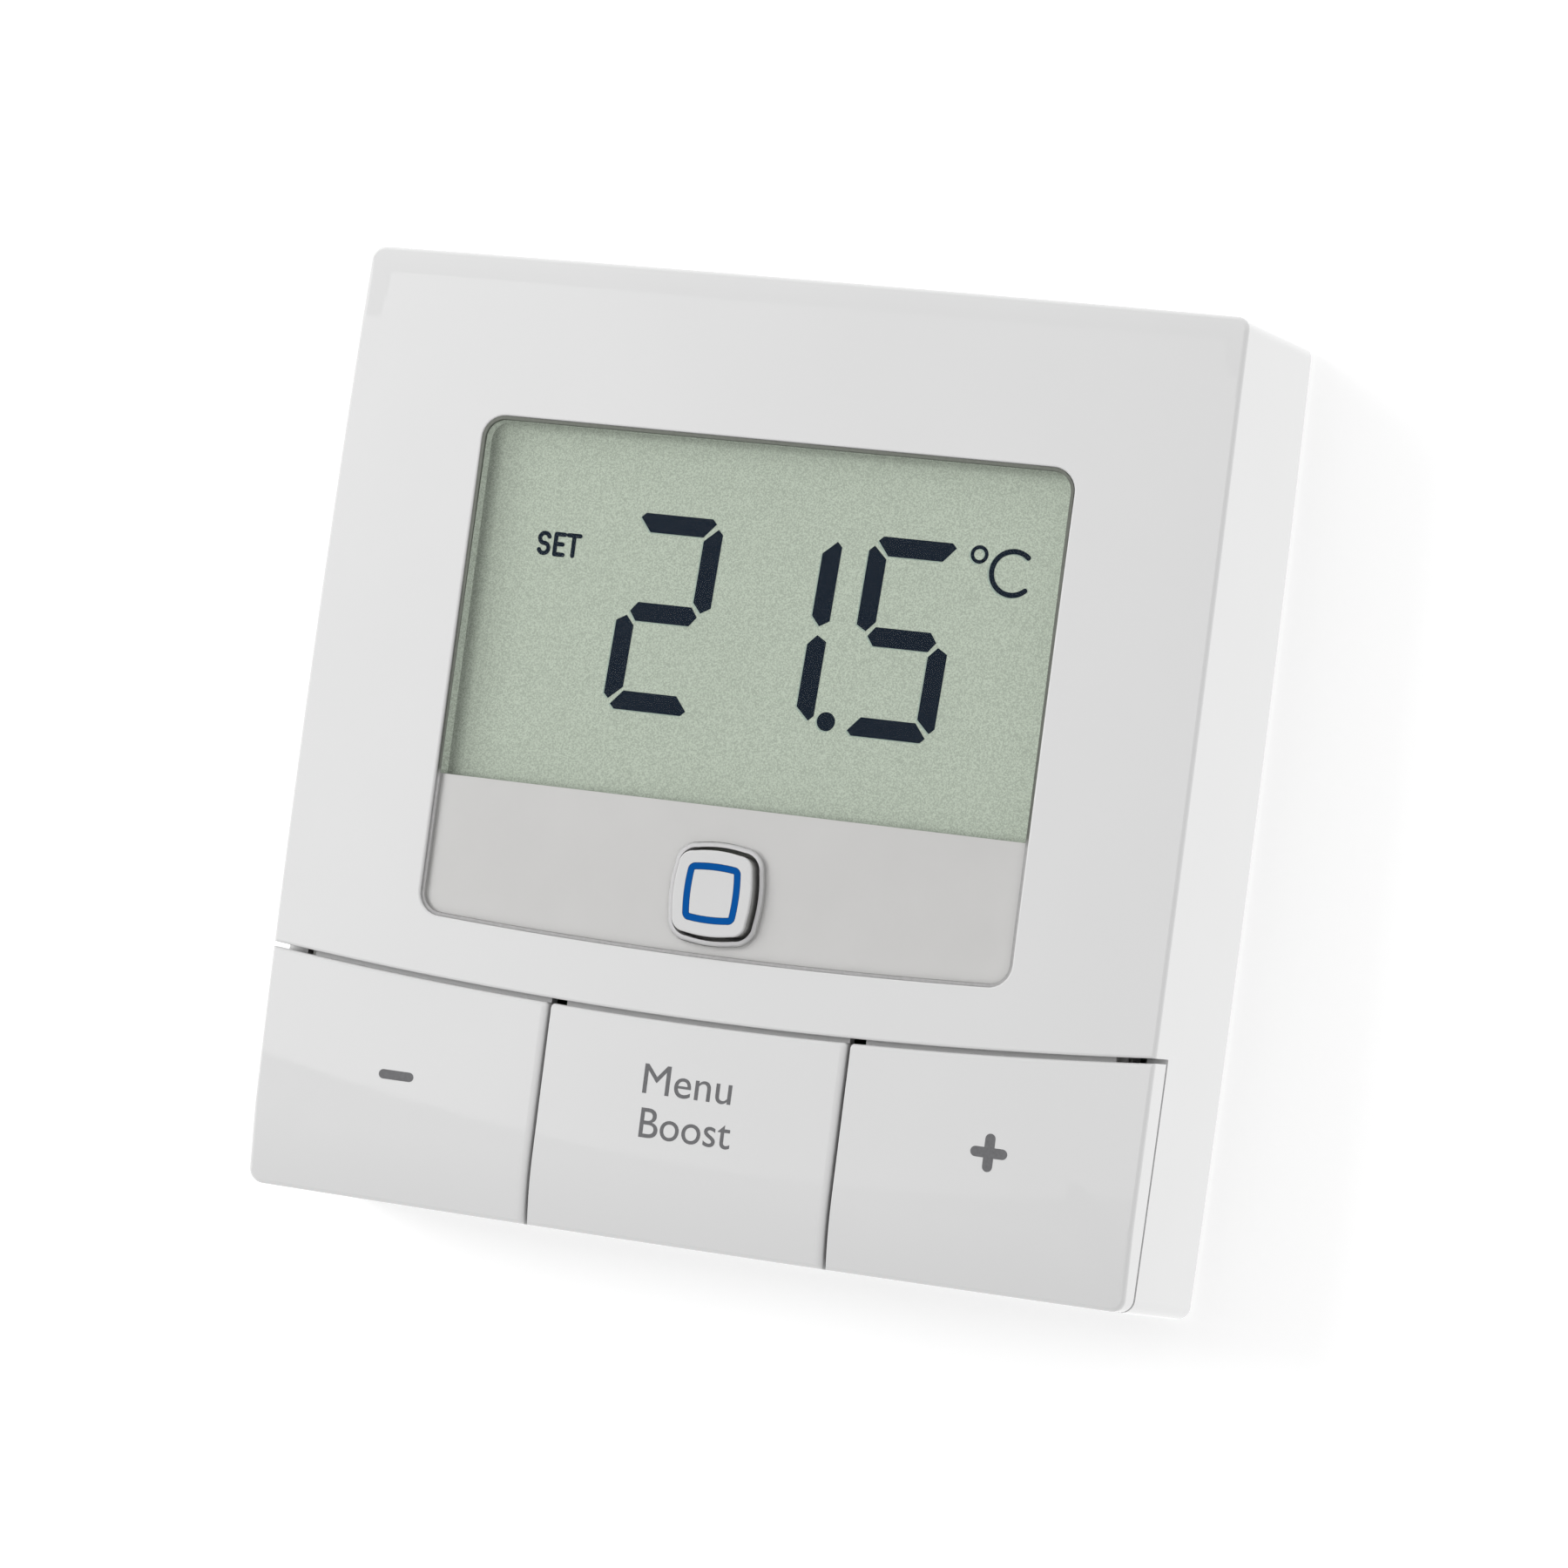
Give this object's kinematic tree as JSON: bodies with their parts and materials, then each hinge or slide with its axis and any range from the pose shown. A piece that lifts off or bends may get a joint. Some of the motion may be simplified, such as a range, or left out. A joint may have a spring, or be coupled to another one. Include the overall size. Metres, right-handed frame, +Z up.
{
  "type": "wall thermostat",
  "caption": "Square white wall thermostat with a display window, a small lit system button and wide keys along its lower edge, clipped onto a stick-on wall plate.",
  "frame": {"origin": "centre of the back face of the wall plate, on the wall", "axes": "+Z up, the front faces -Y, +X to the viewer's right"},
  "size_m": [0.08, 0.0227, 0.084],
  "materials": {
    "foam_tape": "white acrylic foam tape",
    "white_plastic": "high gloss moulded ABS",
    "inner_plastic": "fine satin moulded ABS",
    "clear_plastic": "clear polished acrylic",
    "strip_print": "light grey print behind the clear window",
    "display_glass": "reflective display glass, grey green with fine grain",
    "reflector_foil": "pearl white foil",
    "contact_rubber": "silicone with conductive layers",
    "black_plastic": "fine matt moulded epoxy",
    "plunger_plastic": "satin nylon",
    "blue_plastic": "translucent blue light guide",
    "led_body": "white moulded component body",
    "board": "green solder resist on fibreglass",
    "steel": "bright nickel-plated steel",
    "capacitor_sleeve": "shrink sleeve",
    "antenna_wire": "bare copper alloy wire",
    "cell_sleeve": "plain printed sleeve over a steel can"
  },
  "bodies": {
    "wall_mount": {"wall_plate": "inner_plastic", "adhesive_pad_upper": "foam_tape", "adhesive_pad_lower": "foam_tape"},
    "unit": {"front_cover": "white_plastic", "rear_case": "inner_plastic", "housing_screw_1": "steel", "housing_screw_2": "steel", "housing_screw_3": "steel", "housing_screw_4": "steel", "lens": "clear_plastic", "lens_mask": "strip_print", "lcd_panel": "display_glass", "lcd_reflector": "reflector_foil", "lcd_holder": "inner_plastic", "contact_strip": "contact_rubber", "key_bearing": "inner_plastic", "minus_switch": "black_plastic", "menu_switch": "black_plastic", "plus_switch": "black_plastic", "system_switch": "black_plastic", "status_led": "led_body", "circuit_board": "board", "processor_chip": "black_plastic", "radio_module": "steel", "crystal": "steel", "capacitor": "capacitor_sleeve", "climate_sensor": "led_body", "antenna": "antenna_wire", "cell_upper": "cell_sleeve", "cell_lower": "cell_sleeve", "cell_spring_upper": "steel", "cell_spring_lower": "steel", "contact_bridge": "steel", "contact_plus": "steel", "contact_minus": "steel"},
    "minus": {"minus_key": "white_plastic"},
    "menu": {"menu_key": "white_plastic"},
    "plus": {"plus_key": "white_plastic"},
    "system": {"system_button": "white_plastic", "light_ring": "blue_plastic"},
    "minus_stem": {"minus_plunger": "plunger_plastic"},
    "menu_stem": {"menu_plunger": "plunger_plastic"},
    "plus_stem": {"plus_plunger": "plunger_plastic"},
    "system_stem": {"system_plunger": "plunger_plastic"}
  },
  "joints": [
    {"name": "unit_pull", "type": "slide", "parent": "wall_mount", "child": "unit", "axis": [0, -1, 0], "range_m": [0, 0.03]},
    {"name": "minus_press", "type": "hinge", "parent": "unit", "child": "minus", "pos_m": [-0.0257, -0.0185, -0.0199], "axis": [1, 0, 0], "range_deg": [0, 1], "stiffness_Nm_per_rad": 1.1},
    {"name": "menu_press", "type": "hinge", "parent": "unit", "child": "menu", "pos_m": [0, -0.0185, -0.0199], "axis": [1, 0, 0], "range_deg": [0, 1], "stiffness_Nm_per_rad": 1.1},
    {"name": "plus_press", "type": "hinge", "parent": "unit", "child": "plus", "pos_m": [0.0257, -0.0185, -0.0199], "axis": [1, 0, 0], "range_deg": [0, 1], "stiffness_Nm_per_rad": 1.1},
    {"name": "system_press", "type": "slide", "parent": "unit", "child": "system", "axis": [0, 1, 0], "range_m": [0, 0.00025], "stiffness_N_per_m": 4000},
    {"name": "minus_stem_slide", "type": "slide", "parent": "unit", "child": "minus_stem", "axis": [0, 1, 0], "range_m": [0, 0.00025]},
    {"name": "menu_stem_slide", "type": "slide", "parent": "unit", "child": "menu_stem", "axis": [0, 1, 0], "range_m": [0, 0.00025]},
    {"name": "plus_stem_slide", "type": "slide", "parent": "unit", "child": "plus_stem", "axis": [0, 1, 0], "range_m": [0, 0.00025]},
    {"name": "system_stem_slide", "type": "slide", "parent": "unit", "child": "system_stem", "axis": [0, 1, 0], "range_m": [0, 0.00025]}
  ],
  "couplings": [
    {"joint": "minus_stem_slide", "follows": "minus_press", "m_per_rad": 0.0111},
    {"joint": "menu_stem_slide", "follows": "menu_press", "m_per_rad": 0.0111},
    {"joint": "plus_stem_slide", "follows": "plus_press", "m_per_rad": 0.0111},
    {"joint": "system_stem_slide", "follows": "system_press", "ratio": 1}
  ]
}
